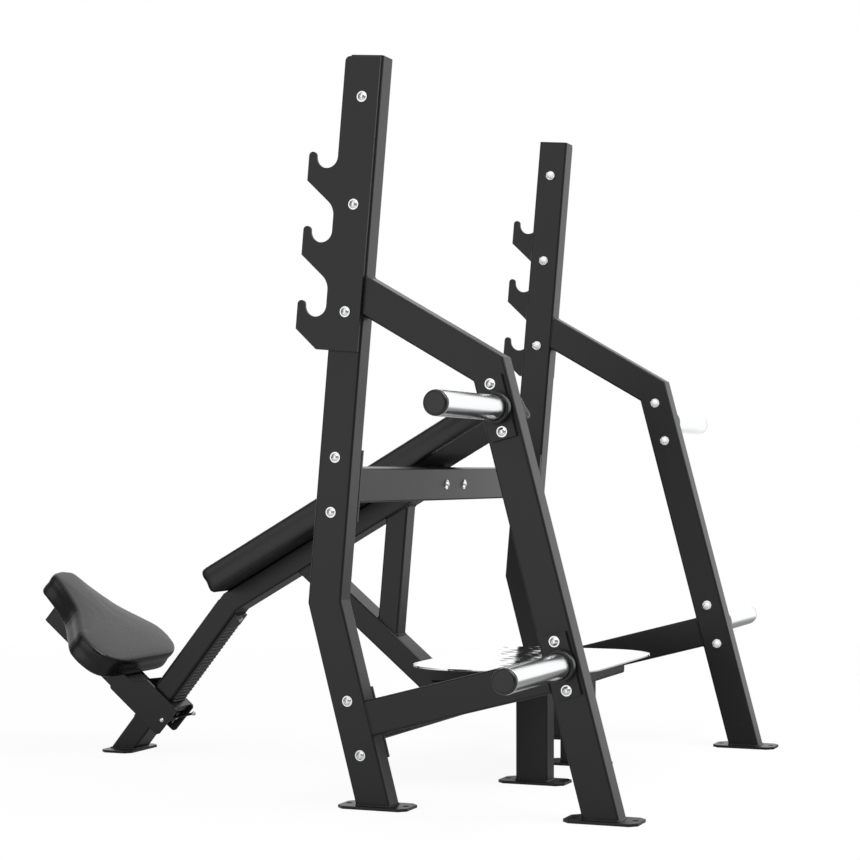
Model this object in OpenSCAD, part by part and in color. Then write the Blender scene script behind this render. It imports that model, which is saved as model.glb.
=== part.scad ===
// Incline bench press for olympic bars. Two welded side frames carry hooked bar rests and plate horns.
// A bench with a sliding seat stands between them, and a tread plate behind it lifts the spotter.
// X runs across the bench, +Y to the spotter's side, +Z up. Sizes are in millimetres.

/* [Tubes and plates] */
// Wide side of the frame tube
tube_w = 70; // [60:1:80]
// Narrow side of the frame tube
tube_d = 50; // [44:1:60]
// Wall of the tubes
tube_wall = 3; // [2:0.5:4]
// Outer corner radius of the tubes
tube_r = 5; // [3:0.5:8]
// Thickness of the bolted plates: bar rests, end plates, horn plates and bench flanges
plate_t = 8; // [5:0.5:12]

/* [Side frames] */
// Distance between the middle planes of the two side frames
frame_span = 1160; // [1100:5:1220]
// Height of the knee's centre above the floor
knee_h = 400; // [370:5:430]
// Lean of the upright above the knee, top to the rear
upright_lean = 4.9; // [3:0.1:7]
// Length of the upright from the knee's centre to its top
upright_len = 1068; // [1065:1:1200]
// Lean of the legs below, feet to the rear
leg_lean = 14.75; // [12:0.25:17]
// Height along the upright, above the knee, at which the top arm leaves it
arm_at = 603; // [560:1:640]
// Fall of the top arm below the horizontal
arm_fall = 30; // [25:1:35]
// Length of the top arm's middle line
arm_len = 295; // [260:1:340]
// Distance below the knee, along the leg, of the side stretcher's middle line
stretcher_at = 241; // [200:1:280]
// Rim of the plug that closes the upright's top
cap_rim = 4; // [2:0.5:8]
// Depth of that plug inside the tube
cap_plug = 15; // [8:1:30]
// Play of plugs in their tubes, on each side
plug_play = 0.2; // [0.1:0.1:0.5]

/* [Foot plates] */
// Length of a foot plate
foot_l = 146; // [130:1:180]
// Width of a foot plate
foot_w = 80; // [74:1:100]
// Thickness of a foot plate
foot_t = 6; // [5:1:12]
// Cut-off corner of a foot plate
foot_corner = 14; // [6:1:20]
// Diameter of the floor-bolt holes
floor_hole_d = 12; // [8:1:14]
// Distance between the two floor-bolt holes of a foot plate
floor_hole_gap = 120; // [112:1:130]

/* [Bar rests] */
// Top of the bar rest, along the upright from the knee
rest_top = 1068; // [1040:1:1068]
// Bottom of the bar rest, along the upright from the knee
rest_bottom = 492; // [470:1:496]
// Overhang of the bar rest in front of the upright
rest_proud = 7; // [3:0.5:12]
// Setback of the bar rest from the upright's rear edge
rest_back = 3; // [0.5:0.5:6]
// Seat of the highest hook, along the upright from the knee
hook_top = 848; // [830:1:860]
// Distance from hook to hook
hook_pitch = 146; // [136:1:150]
// Number of hooks
hook_count = 3; // [1:1:3]
// Radius of the bar's slot
slot_r = 23; // [18:0.5:26]
// Radius of the hook's tip
tip_r = 8; // [5:0.5:10]
// Depth of the hook below its slot, at the tip
hook_depth = 26; // [20:1:34]
// Rise of the hook's underside
hook_rise = 39; // [32:1:45]
// Fillet where a hook grows out of the plate
hook_fillet = 36; // [20:1:45]
// Radius of the front corner at the top of the bar rest
rest_corner = 10; // [4:1:14]
// Highest screw of the bar rest, along the upright from the knee
rest_screw_top = 989; // [970:1:1000]
// Distance between the bar rest's screws
rest_screw_pitch = 210; // [200:1:216]

/* [Cross members] */
// Upper cross member's middle line, along the upright from the knee
upper_cross_at = 230; // [220:1:236]
// Lower cross member's middle line, along the leg below the knee
lower_cross_at = 253; // [245:1:262]
// Distance between the two screws of an end plate
end_screw_gap = 108; // [102:1:116]
// Length of an end plate
end_plate_l = 142; // [136:1:156]
// Width of an end plate
end_plate_w = 70; // [66:1:80]

/* [Horns] */
// Upper horn's middle line, along the rear leg below its top corner
horn_at = 77; // [70:1:90]
// Distance between the two horns of a side
horn_gap = 501; // [470:1:520]
// Diameter of the chromed horn
horn_d = 48; // [42:0.5:49.5]
// Length of the horn tube
horn_l = 310; // [250:5:360]
// Wall of the horn tube
horn_wall = 3.5; // [3:0.5:5]
// Diameter of the plate stop ring
collar_d = 62; // [56:1:70]
// Width of the plate stop ring
collar_w = 18; // [10:1:30]
// Diameter of the horn's turned root, which the plate stop ring sits on
horn_root_d = 46; // [44:0.5:47]
// Play of the plate stop ring on that root
collar_play = 0.3; // [0.1:0.1:0.6]
// Distance between the two screws of a horn plate
horn_screw_gap = 94; // [90:1:104]
// Length of a horn plate
horn_plate_l = 122; // [118:1:140]
// Width of a horn plate
horn_plate_w = 50; // [44:1:60]
// Thickness of the horn's end cap
horn_cap_t = 10; // [8:0.5:14]
// Diameter of the horn's end cap
horn_cap_d = 47; // [42:0.5:49]
// Radius of the end cap's rounded rim
horn_cap_round = 6; // [3:0.5:7]

/* [Screws] */
// Shank diameter
screw_d = 10; // [8:1:10]
// Diameter of the drilled screw holes
screw_hole_d = 11; // [10.5:0.5:12]
// Head diameter
head_d = 16; // [14:0.5:18]
// Height of the domed head
head_h = 5; // [4:0.5:7]
// Straight rim below the head's dome
head_rim = 1; // [0.5:0.5:2]
// Width across flats of the hexagon socket
socket_af = 6; // [4:0.5:7]
// Depth of the hexagon socket
socket_t = 3; // [2:0.5:3.5]
// Washer diameter
washer_d = 21; // [18:0.5:24]
// Washer thickness
washer_t = 2; // [1:0.5:3]
// Width across flats of the cap nuts
nut_af = 17; // [15:0.5:18]
// Height of the cap nut's hexagon
nut_h = 8; // [6:0.5:10]

/* [Bench] */
// Height of the back pad's underside above the knee's middle
pad_h = 672; // [669:0.5:676]
// Incline of the back pad above the horizontal
bench_incline = 30; // [28:0.5:32]
// Length of the back pad
pad_len = 805; // [700:5:860]
// Overhang of the back pad's top end behind the knee's middle, along the incline
pad_over = 218; // [150:1:260]
// Width of the back pad
pad_w = 246; // [220:1:300]
// Thickness of both pads
pad_t = 55; // [45:1:70]
// Thickness of the boards in the pads
board_t = 12; // [9:1:18]
// Margin of the pad's cover round its board
board_margin = 12; // [10:1:20]
// Gap between a pad and its board
board_gap = 0.3; // [0.1:0.1:0.6]
// Gap under a board, where it lies on its tube
board_seat = 0.3; // [0.1:0.1:0.6]
// Corner radius of the back pad seen from above
pad_corner = 24; // [14:1:40]
// Height of the crown of both pads
crown = 4; // [1:0.5:8]
// Angle of the front post above the horizontal
post_incline = 51.3; // [49:0.1:54]
// Distance of the front post's foot in front of the knee's middle
post_reach = 783; // [740:1:820]
// Distance of the bench post in front of the knee's middle, along the beam
bench_post_at = 128; // [110:1:150]
// Width of the square bench post
bench_post_w = 50; // [40:1:60]
// Distance of the brace's top in front of the knee's middle, along the beam
brace_at = 377; // [350:1:400]
// Fall of the brace below the horizontal
brace_fall = 40.2; // [38:0.2:42]
// Distance between the two screws of a bench flange
flange_screw_gap = 108; // [102:1:120]
// Width of a bench flange
flange_w = 142; // [134:1:160]
// Rise of the lower flange above its cross member's middle line
lower_flange_rise = 62; // [58:1:66]

/* [Seat rack] */
// Pitch of the rack's teeth
tooth_pitch = 10; // [8:0.5:14]
// Depth of the rack's teeth
tooth_t = 2; // [2:0.5:3]
// Thickness of the rack bar, teeth included
rack_t = 7; // [6:0.5:9]
// Width of the rack bar
rack_w = 56; // [40:1:60]
// Gap between the rack bar's upper end and the bend above the post
rack_clear = 11; // [6:0.5:20]
// Number of teeth below the one that holds the seat at its lowest
teeth_below = 3; // [1:1:4]
// Plain end of the rack bar, which takes a screw
rack_land = 20; // [16:1:24]
// Shank diameter of the rack's screws
rack_screw_d = 8; // [6:0.5:8]
// Head diameter of the rack's screws
rack_head_d = 13; // [11:0.5:14]
// Head height of the rack's screws
rack_head_h = 5; // [4:0.5:8]
// Length of the rack's screws under the head
rack_screw_l = 16; // [12:1:25]
// Thickness of the slide strip on the post's front
strip_t = 2; // [1:0.5:3]
// Width of the slide strip
strip_w = 60; // [40:1:62]
// Start of the slide strip, along the post from the floor
strip_start = 85; // [60:1:90]
// Gap between the slide strip's upper end and the bend above the post
strip_clear = 20; // [12:1:60]

/* [Seat] */
// Place of the seat carriage, along the post from the floor
seat_at = 137.4; // [134:0.1:140]
// Tilt of the seat, front up
seat_tilt = 40; // [38:0.5:42]
// Height of the carriage plates above the carriage's middle
side_up = 40.5; // [38:0.5:44]
// Depth of the seat arm's underside below the carriage's middle
arm_down = 40; // [36:0.5:42]
// Front edge of the carriage plates, before the post's middle line
side_front = 113.5; // [105:0.5:118]
// Rear end of the carriage plates' low front part, before the post's middle line
side_step = 77; // [72:0.5:82]
// Front end of the carriage plates' full height, before the post's middle line
side_peak = 48; // [44:0.5:56]
// Rear edge of the carriage plates, behind the post's middle line
side_rear = 54.5; // [53:0.5:58]
// Corner radius of the carriage plates
side_corner = 8; // [4:0.5:12]
// Play of the carriage plates beside the post
carriage_play = 1; // [0.5:0.1:2]
// Front end of the seat arm, before the post's middle line
seat_arm_front = 345; // [320:1:370]
// Gap between the seat pad's tail and the rise of the carriage plates
seat_clear = 20; // [12:0.5:26]
// Length of the seat pad
seat_len = 310; // [280:1:340]
// Half width of the seat pad at its widest
seat_half = 182; // [160:1:200]
// Thickness of the front slide's rim
slide_rim = 5.5; // [4:0.5:8]
// Running gap of the slides
slide_gap = 0.3; // [0.2:0.1:0.5]
// Height of the rear slide
rear_slide_h = 16; // [10:1:18]
// Depth of the rear slide
rear_slide_d = 22; // [18:1:24]

/* [Pawl] */
// Distance of the pawl's pin below the carriage's middle
pin_down = 4; // [2:0.5:8]
// Diameter of the pin
pin_d = 8; // [6:0.5:8]
// Diameter of the pin's domed head
pin_head_d = 11; // [10:0.5:14]
// Running clearance of the pawl on its pin, on the radius
pin_play = 0.08; // [0.02:0.01:0.1]
// Width of the pawl's hub
pawl_w = 22; // [20:1:30]
// Width of the pawl's finger
finger_w = 18; // [12:1:19]
// Diameter of the pawl's hub
hub_d = 15; // [14:0.5:17]
// Gap between the pawl's hub and the rack
hub_gap = 0.8; // [0.5:0.1:2]
// Height of the pawl's tooth above its pin
tooth_up = 20; // [18:0.5:21]
// Width of the tooth's edge
tooth_edge = 1; // [0.6:0.1:1.4]
// Swing of the pawl from lifted to locked
pawl_swing = 7; // [6:0.5:7.5]
// Gap between the pawl's lifted tooth and the rack
lift_gap = 0.8; // [0.6:0.1:1.2]
// Distance of the release knob behind the post's middle line
knob_back = 78; // [76:0.5:84]
// Height of the release knob above the carriage's middle
knob_up = 45; // [42:0.5:50]
// Diameter of the release knob
knob_d = 10; // [8:0.5:14]
// Diameter of the release lever
lever_d = 6; // [5:0.5:7]
// Wire of the pawl's spring
wire_d = 1.6; // [1.2:0.1:2]
// Play of the pawl's spring round its pin
spring_play = 0.3; // [0.2:0.1:0.5]
// Turns of the pawl's spring
spring_turns = 5; // [3:1:6]

/* [Spotter's step] */
// Height of the tread above the floor
tread_h = 247; // [243:1:255]
// Width of the tread plate
tread_w = 600; // [540:2:640]
// Front edge of the tread plate behind the knee's middle
tread_front = 24; // [18:1:40]
// Depth of the tread plate
tread_l = 413; // [390:1:440]
// Thickness of the tread plate
tread_t = 4; // [3:0.5:6]
// Corner radius of the tread plate
tread_corner = 125; // [20:1:150]
// Distance between the step's two legs
step_span = 300; // [260:2:340]
// Middle of the step's legs behind the knee's middle
step_leg_y = 282; // [260:1:300]
// Height of the step's bearers
bearer_h = 38; // [34:1:44]
// Front end of the bearers behind the knee's middle
bearer_front = 56; // [50:1:64]
// Rear face of the bar across the bearers' ends, behind the knee's middle
bearer_rear = 381; // [350:1:400]
// Reach of the brackets under the bearers
bracket_l = 90; // [70:1:110]

/* [Hidden] */

// Finishes
coat = "#2b2b2d";
vinyl = "#3a3a3c";
chrome = "#dcdcde";
zinc = "#c4c6c8";
plastic = "#1c1c1e";
alloy = "#d2d3d5";
timber = "#a98a5c";

// Far beyond the object, for cutting planes
far = 3000;
// Through-cuts run this far past a face
past = 1;
// Smoothness of round shapes
$fn = 48;

// Points in the side view are [y, z]. A lean is counted from upright towards the rear.
function along(lean, l) = [l * sin(lean), l * cos(lean)];
function aside(lean, l) = [l * cos(lean), -l * sin(lean)];
function spot(p, lean, l, side = 0) = p + along(lean, l) + aside(lean, side);
function cross2(a, b) = a[0] * b[1] - a[1] * b[0];
// Point where two lines in the side view meet
function meet(p, lean_p, q, lean_q) =
  p + along(lean_p, cross2(q - p, along(lean_q, 1)) / cross2(along(lean_p, 1), along(lean_q, 1)));

frame_x = frame_span / 2;
outer_x = frame_x + tube_d / 2;
inner_x = frame_x - tube_d / 2;
grip = tube_d + plate_t;

// Side frame
knee = [0, knee_h];
knee_mitre = (upright_lean - leg_lean) / 2;
arm_lean = 90 + arm_fall;
arm_root = spot(knee, upright_lean, arm_at, tube_w / 2);
corner = spot(arm_root, arm_lean, arm_len);
corner_mitre = (arm_lean + 180 - leg_lean) / 2;
legs_apart = (corner - knee) * aside(-leg_lean, 1);
function on_floor(p, lean, z) = [p[0] + (z - p[1]) * tan(lean), z];
base_foot = on_floor(knee, -leg_lean, foot_t);
rear_foot = on_floor(corner, -leg_lean, foot_t);
horn_drops = [horn_at, horn_at + horn_gap];

// Bar rest, forward sizes measured from the upright's middle line
rest_front = tube_w / 2 + rest_proud;
hook_out = rest_front + 2 * slot_r + 2 * tip_r;
hook_root = -hook_depth - (hook_out - rest_front) * tan(hook_rise);
fillet_run = hook_fillet * tan((90 - hook_rise) / 2);
rest_tail = tube_w / 2 - rest_back;
hook_seats = [for (i = [0:hook_count - 1]) hook_top - i * hook_pitch];

// Cross members and bench
upper_cross = spot(knee, upright_lean, upper_cross_at);
lower_cross = spot(knee, -leg_lean, -lower_cross_at);
bench_lean = 90 - bench_incline;
bench_top = [0, pad_h];
beam_line = spot(bench_top, bench_lean, 0, tube_d / 2);
post_lean = 90 - post_incline;
post_floor = [-post_reach, 0];
bench_knee = meet(beam_line, bench_lean, post_floor, post_lean);
bench_mitre = (bench_lean + post_lean) / 2;
post_len = norm(bench_knee - post_floor);
// The bend's plane meets the post's front face higher and its rear face lower than its middle line
bend_lag = tube_d / 2 * tan((bench_lean - post_lean) / 2);
post_foot = on_floor(post_floor, post_lean, foot_t);
bench_post_top = spot(bench_top, bench_lean, -bench_post_at, tube_d);
brace_lean = 90 + brace_fall;
brace_top = spot(bench_top, bench_lean, -brace_at, tube_d);
upper_face = spot(upper_cross, upright_lean, 0, -tube_d / 2 - plate_t);
lower_face = spot(lower_cross, -leg_lean, 0, -tube_d / 2 - plate_t);

// Seat carriage, in the seat's own frame: z up from the seat, y to the rear
seat_root = spot(post_floor, post_lean, seat_at);
seat_lean = seat_tilt;
post_front = -tube_d / 2 - strip_t;
post_rear = tube_d / 2;
seat_arm_w = tube_w + 2 * carriage_play;
seat_arm_rear = post_front - slide_gap - slide_rim;
seat_base = tube_d - arm_down;
seat_front = side_step + seat_clear + seat_len;
strip_end = post_len + bend_lag - strip_clear;
rack_crest = post_rear + rack_t;
pin_back = rack_crest + hub_gap + hub_d / 2;
pawl_tip = rack_crest + lift_gap - pin_back;
// Locked tooth, from the carriage's middle: the rack's valleys are placed to receive it
locked_y = pin_back + pawl_tip * cos(pawl_swing) - tooth_up * sin(pawl_swing);
locked_z = pawl_tip * sin(pawl_swing) + tooth_up * cos(pawl_swing) - pin_down;
locked_at = seat_at + locked_z * cos(seat_lean - post_lean) - locked_y * sin(seat_lean - post_lean);
rack_start = locked_at - tooth_edge - teeth_below * tooth_pitch;
rack_end = post_len - bend_lag - rack_clear;
tooth_count = floor((rack_end - rack_land - rack_start) / tooth_pitch);
rack_screws_at = [rack_start - rack_land / 2, rack_end - rack_land / 2];

// Local z along a lean, local y to the rear of it
module at(x, p, lean) translate([x, p[0] - y_mid, p[1]]) rotate([-lean, 0, 0]) children();
// All of space on the far side of a plane that faces along a lean
module beyond(p, lean) at(0, p, lean) translate([-far, -far, 0]) cube([2 * far, 2 * far, far]);
module on_left() mirror([1, 0, 0]) children();
module both_sides() {
  children();
  mirror([1, 0, 0]) children();
}
// A flat shape drawn in the side view, given a thickness along X
module side_plate(t) rotate([90, 0, 90]) linear_extrude(t) children();
module across(d, l) rotate([0, 90, 0]) cylinder(d = d, h = l);

module rounded(w, d, r) {
  square([w - 2 * r, d], center = true);
  square([w, d - 2 * r], center = true);
  for (x = [-1, 1], y = [-1, 1]) translate([x * (w / 2 - r), y * (d / 2 - r)]) circle(r);
}

module tube_core(w, d) rounded(w - 2 * tube_wall, d - 2 * tube_wall, max(tube_r - tube_wall, 0.5));

module tube(w, d, l) linear_extrude(l) difference() {
  rounded(w, d, tube_r);
  tube_core(w, d);
}

module plug(w, d, l) linear_extrude(l)
  rounded(w - 2 * tube_wall - 2 * plug_play, d - 2 * tube_wall - 2 * plug_play, max(tube_r - tube_wall, 0.5));

// Side frames
module upright() color(coat) difference() {
  at(frame_x, knee, upright_lean) translate([0, 0, -tube_w]) tube(tube_d, tube_w, upright_len + tube_w);
  beyond(knee, knee_mitre + 180);
  at(inner_x - past, knee, upright_lean) {
    for (i = [0:2]) translate([0, 0, rest_screw_top - i * rest_screw_pitch])
      across(screw_hole_d, tube_d + 2 * past);
    for (s = [-1, 1]) translate([0, 0, upper_cross_at + s * end_screw_gap / 2])
      across(screw_hole_d, tube_d + 2 * past);
  }
}

module upright_base() color(coat) difference() {
  at(frame_x, knee, -leg_lean) translate([0, 0, -knee_h - tube_w])
    tube(tube_d, tube_w, knee_h + 2 * tube_w);
  beyond(knee, knee_mitre);
  beyond(base_foot, 180);
  at(inner_x - past, knee, -leg_lean) for (s = [-1, 1])
    translate([0, 0, s * end_screw_gap / 2 - lower_cross_at]) across(screw_hole_d, tube_d + 2 * past);
}

module upright_cap() color(plastic) at(frame_x, knee, upright_lean) translate([0, 0, upright_len]) {
  linear_extrude(cap_rim) rounded(tube_d, tube_w, tube_r);
  translate([0, 0, -cap_plug]) plug(tube_d, tube_w, cap_plug);
}

// Edge of one hook from the top of its slot round the tip to the root of its fillet, tip to the left
function hook_edge(q) = [
  [-rest_front, q + slot_r], [-rest_front - 2 * slot_r, q + slot_r],
  [-rest_front - 2 * slot_r, q + slot_r + tip_r], [-hook_out, q + slot_r + tip_r],
  [-hook_out, q - hook_depth],
  [-rest_front - fillet_run * cos(hook_rise), q + hook_root + fillet_run * sin(hook_rise)],
  [-rest_front, q + hook_root - fillet_run]
];

// What is cut away outside a rounded corner that points along [sx, sy] from the origin
module corner_cut(r, sx, sy) difference() {
  translate([sx > 0 ? 0 : -r - past, sy > 0 ? 0 : -r - past]) square(r + past);
  circle(r);
}

module bar_rest() color(coat) at(outer_x, knee, upright_lean) side_plate(plate_t) difference() {
  polygon(concat(
    [[rest_tail, rest_bottom - tube_w], [rest_tail, rest_top], [-rest_front, rest_top]],
    [for (q = hook_seats, p = hook_edge(q)) p],
    [[-rest_front, rest_bottom - tube_w]]
  ));
  translate([-far, rest_bottom - far]) square([2 * far, far]);
  for (q = hook_seats) {
    translate([-rest_front - slot_r, q + slot_r]) circle(slot_r);
    translate([tip_r - hook_out, q + slot_r]) corner_cut(tip_r, -1, 1);
    translate([tip_r - hook_out, q + slot_r]) corner_cut(tip_r, 1, 1);
    intersection() {
      translate([-rest_front - hook_fillet, q + hook_root - fillet_run]) circle(hook_fillet);
      translate([-rest_front - fillet_run * cos(hook_rise), q + hook_root - fillet_run])
        square([fillet_run * cos(hook_rise), fillet_run * (1 + sin(hook_rise))]);
    }
  }
  translate([rest_corner - rest_front, rest_top - rest_corner]) corner_cut(rest_corner, -1, 1);
  for (i = [0:2]) translate([0, rest_screw_top - i * rest_screw_pitch]) circle(d = screw_hole_d);
}

module top_arm() color(coat) difference() {
  at(frame_x, arm_root, arm_lean) translate([0, 0, -tube_w]) tube(tube_d, tube_w, arm_len + 2 * tube_w);
  beyond(arm_root, upright_lean - 90);
  beyond(corner, corner_mitre);
}

module rear_leg() color(coat) difference() {
  at(frame_x, corner, -leg_lean) translate([0, 0, -corner[1] - tube_w])
    tube(tube_d, tube_w, corner[1] + 2 * tube_w);
  beyond(corner, corner_mitre + 180);
  beyond(rear_foot, 180);
  at(inner_x - past, corner, -leg_lean) for (drop = horn_drops, s = [-1, 1])
    translate([0, 0, s * horn_screw_gap / 2 - drop]) across(screw_hole_d, tube_d + 2 * past);
}

module side_stretcher() color(coat) at(frame_x, knee, -leg_lean)
  translate([0, tube_w / 2, -stretcher_at]) rotate([-90, 0, 0]) tube(tube_d, tube_w, legs_apart - tube_w);

module foot_shape(l, w) polygon([for (s = [[1, 1], [-1, 1], [-1, -1], [1, -1]], k = [0, 1])
  let (swap = s[0] * s[1] > 0 ? k : 1 - k)
  [s[0] * (l / 2 - (swap ? foot_corner : 0)), s[1] * (w / 2 - (swap ? 0 : foot_corner))]]);

// A foot plate that runs along X, with its two floor-bolt holes
module foot_plate() color(coat) difference() {
  linear_extrude(foot_t) foot_shape(foot_l, foot_w);
  for (s = [-1, 1]) translate([s * floor_hole_gap / 2, 0, -past])
    cylinder(d = floor_hole_d, h = foot_t + 2 * past);
}

module foot_under(x, p) at(x, [p[0], 0], 0) rotate(90) foot_plate();

// Cross members
module end_plate() linear_extrude(plate_t) difference() {
  square([end_plate_l, end_plate_w], center = true);
  for (s = [-1, 1]) translate([s * end_screw_gap / 2, 0]) circle(d = screw_hole_d);
}

module end_plates() color(coat) both_sides() {
  at(inner_x - plate_t, upper_cross, upright_lean) rotate([0, 90, 0]) end_plate();
  at(inner_x - plate_t, lower_cross, -leg_lean) rotate([0, 90, 0]) end_plate();
}

module cross_member(p, lean) color(coat) difference() {
  at(plate_t - inner_x, p, lean) rotate([0, 90, 0]) tube(tube_w, tube_d, 2 * (inner_x - plate_t));
  at(0, p, lean) for (s = [-1, 1]) translate([s * flange_screw_gap / 2, -tube_d / 2 - past, 0])
    rotate([-90, 0, 0]) cylinder(d = screw_hole_d, h = tube_d + 2 * past);
}

// Bench
module bench_beam() color(coat) difference() {
  at(0, bench_knee, bench_lean) translate([0, 0, -tube_w]) tube(tube_w, tube_d, far / 2);
  beyond(bench_knee, bench_mitre + 180);
  beyond(upper_face, upright_lean + 90);
}

module front_post() color(coat) difference() {
  at(0, post_floor, post_lean) translate([0, 0, -tube_w])
    tube(tube_w, tube_d, post_len + 2 * tube_w);
  beyond(bench_knee, bench_mitre);
  beyond(post_foot, 180);
  at(0, post_floor, post_lean) at_rack_screws() translate([0, 0, -tube_wall - past])
    cylinder(d = rack_screw_d + 2 * plug_play, h = tube_wall + 2 * past);
}

module bench_post() color(coat) difference() {
  at(0, bench_post_top, upright_lean) translate([0, 0, -far / 4])
    tube(bench_post_w, bench_post_w, far / 4 + tube_w);
  beyond(bench_post_top, bench_lean - 90);
  beyond(spot(brace_top, brace_lean, 0, -tube_d / 2), brace_lean + 90);
}

module bench_brace() color(coat) difference() {
  at(0, brace_top, brace_lean) translate([0, 0, -tube_w]) tube(tube_w, tube_d, far / 4);
  beyond(brace_top, bench_lean - 90);
  beyond(lower_face, 90 - leg_lean);
}

module flange(p, lean, low, high) color(coat) at(0, p, lean) difference() {
  translate([-flange_w / 2, -tube_d / 2 - plate_t, -low]) cube([flange_w, plate_t, low + high]);
  for (s = [-1, 1]) translate([s * flange_screw_gap / 2, -tube_d / 2 - plate_t - past, 0])
    rotate([-90, 0, 0]) cylinder(d = screw_hole_d, h = plate_t + 2 * past);
}

// The upper flange is cut off level with the beam's top, under the back pad
module bench_flanges() difference() {
  union() {
    flange(upper_cross, upright_lean, tube_w / 2, tube_w / 2);
    flange(lower_cross, -leg_lean, tube_w / 2, lower_flange_rise);
  }
  beyond(bench_top, bench_lean - 90);
}

module slide_strip() color(plastic) at(0, post_floor, post_lean)
  translate([-strip_w / 2, post_front, strip_start]) cube([strip_w, strip_t, strip_end - strip_start]);

// Saw teeth that let the pawl slide over them upwards and hold it downwards, between two plain ends
module seat_rack() color(coat) at(0, post_floor, post_lean) difference() {
  translate([-rack_w / 2, 0, rack_start]) side_plate(rack_w) polygon(concat(
    [[post_rear, -rack_land], [rack_crest, -rack_land]],
    [for (i = [0:tooth_count - 1], k = [0, 1])
      [rack_crest - (k == 0 ? tooth_t : 0), (i + 0.9 * k) * tooth_pitch]],
    [[rack_crest, rack_end - rack_start], [post_rear, rack_end - rack_start]]
  ));
  at_rack_screws() translate([0, 0, -past])
    cylinder(d = rack_screw_d + 2 * plug_play, h = rack_t + 2 * past);
}

// Places on the post's rear face, in the post's frame, with local z to the rear
module at_rack_screws() for (l = rack_screws_at) translate([0, post_rear, l]) rotate([-90, 0, 0]) children();

module rack_screw() color(zinc) difference() {
  union() {
    translate([0, 0, rack_t]) cylinder(d = rack_head_d, h = rack_head_h);
    translate([0, 0, rack_t - rack_screw_l]) cylinder(d = rack_screw_d, h = rack_screw_l + past);
  }
  translate([0, 0, rack_t + rack_head_h / 2])
    cylinder(d = rack_screw_d / 2 / cos(30), h = rack_head_h, $fn = 6);
}

// Cushions are stacks of rings. Each ring is the outline drawn in by some amount at some height.
function inward(o, i) = let (n = len(o), t = o[(i + 1) % n] - o[(i + n - 1) % n]) [-t[1], t[0]] / norm(t);
function drawn_in(o, by) = [for (i = [0:len(o) - 1]) o[i] + by * inward(o, i)];
function raised(o, z) = [for (p = o) [p[0], p[1], z]];
function shrunk(o, hub, f) = [for (p = o) hub + (p - hub) * f];

// Inset and height of the rings from the board's pocket round the side to the top edge
cushion_side = [
  [board_margin, board_t + board_gap], [board_margin, 0], [5, 0], [1.5, 0.08 * pad_t], [1, 0.25 * pad_t],
  [2.5, 0.5 * pad_t], [0.5, 0.75 * pad_t], [2.5, 0.89 * pad_t], [7, 0.96 * pad_t], [14, pad_t]
];
// Share of the way out from the hub, and share of the crown, of the rings on the top
cushion_top = [[0.66, 0.6], [0.33, 0.9]];

// The object stands with the middle of its footprint over the origin. Its front is the seat pad or its arm.
y_front = seat_root[0] + min(concat(
  [-(seat_arm_front + cap_rim) * cos(seat_lean) - arm_down * sin(seat_lean)],
  [for (r = cushion_side)
    (r[0] - seat_front) * cos(seat_lean) + (seat_base + board_seat + r[1]) * sin(seat_lean)]
));
y_rear = rear_foot[0] + foot_l / 2;
y_mid = (y_front + y_rear) / 2;

module cushion(o, hub) {
  n = len(o);
  edge = drawn_in(o, cushion_side[len(cushion_side) - 1][0]);
  rings = concat(
    [for (r = cushion_side) raised(drawn_in(o, r[0]), r[1])],
    [for (r = cushion_top) raised(shrunk(edge, hub, r[0]), pad_t + crown * r[1])]
  );
  last = len(rings) - 1;
  polyhedron(
    points = concat(
      [for (r = rings, p = r) p],
      [[hub[0], hub[1], board_t + board_gap], [hub[0], hub[1], pad_t + crown]]
    ),
    faces = concat(
      [for (k = [0:last - 1], i = [0:n - 1]) [k * n + i, (k + 1) * n + i, (k + 1) * n + (i + 1) % n]],
      [for (k = [0:last - 1], i = [0:n - 1]) [k * n + i, (k + 1) * n + (i + 1) % n, k * n + (i + 1) % n]],
      [for (i = [0:n - 1]) [n * (last + 1), i, (i + 1) % n]],
      [for (i = [0:n - 1]) [n * (last + 1) + 1, last * n + (i + 1) % n, last * n + i]]
    )
  );
}

module board(o) linear_extrude(board_t) polygon(drawn_in(o, board_margin + board_gap));

// Back pad seen from above: rounded corners joined by long edges that draw in a little at mid length
pad_waist = 2;
pad_steps = 10;
pad_corner_steps = 5;
function pad_edge_x(y) = pad_w / 2 - pad_waist * (1 - pow(2 * y / pad_len, 2));
pad_straight = pad_len / 2 - pad_corner;
function pad_arc(sx, sy, a0) = [for (i = [0:pad_corner_steps]) let (a = a0 + 90 * i / pad_corner_steps)
  [sx * (pad_w / 2 - pad_corner) + pad_corner * cos(a), sy * pad_straight + pad_corner * sin(a)]];
function pad_side(s) = [for (i = [1:pad_steps - 1]) let (y = s * pad_straight * (2 * i / pad_steps - 1))
  [s * pad_edge_x(y), y]];
pad_outline = concat(pad_side(1), pad_arc(1, 1, 0), pad_arc(-1, 1, 90), pad_side(-1), pad_arc(-1, -1, 180),
  pad_arc(1, -1, 270));

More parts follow.
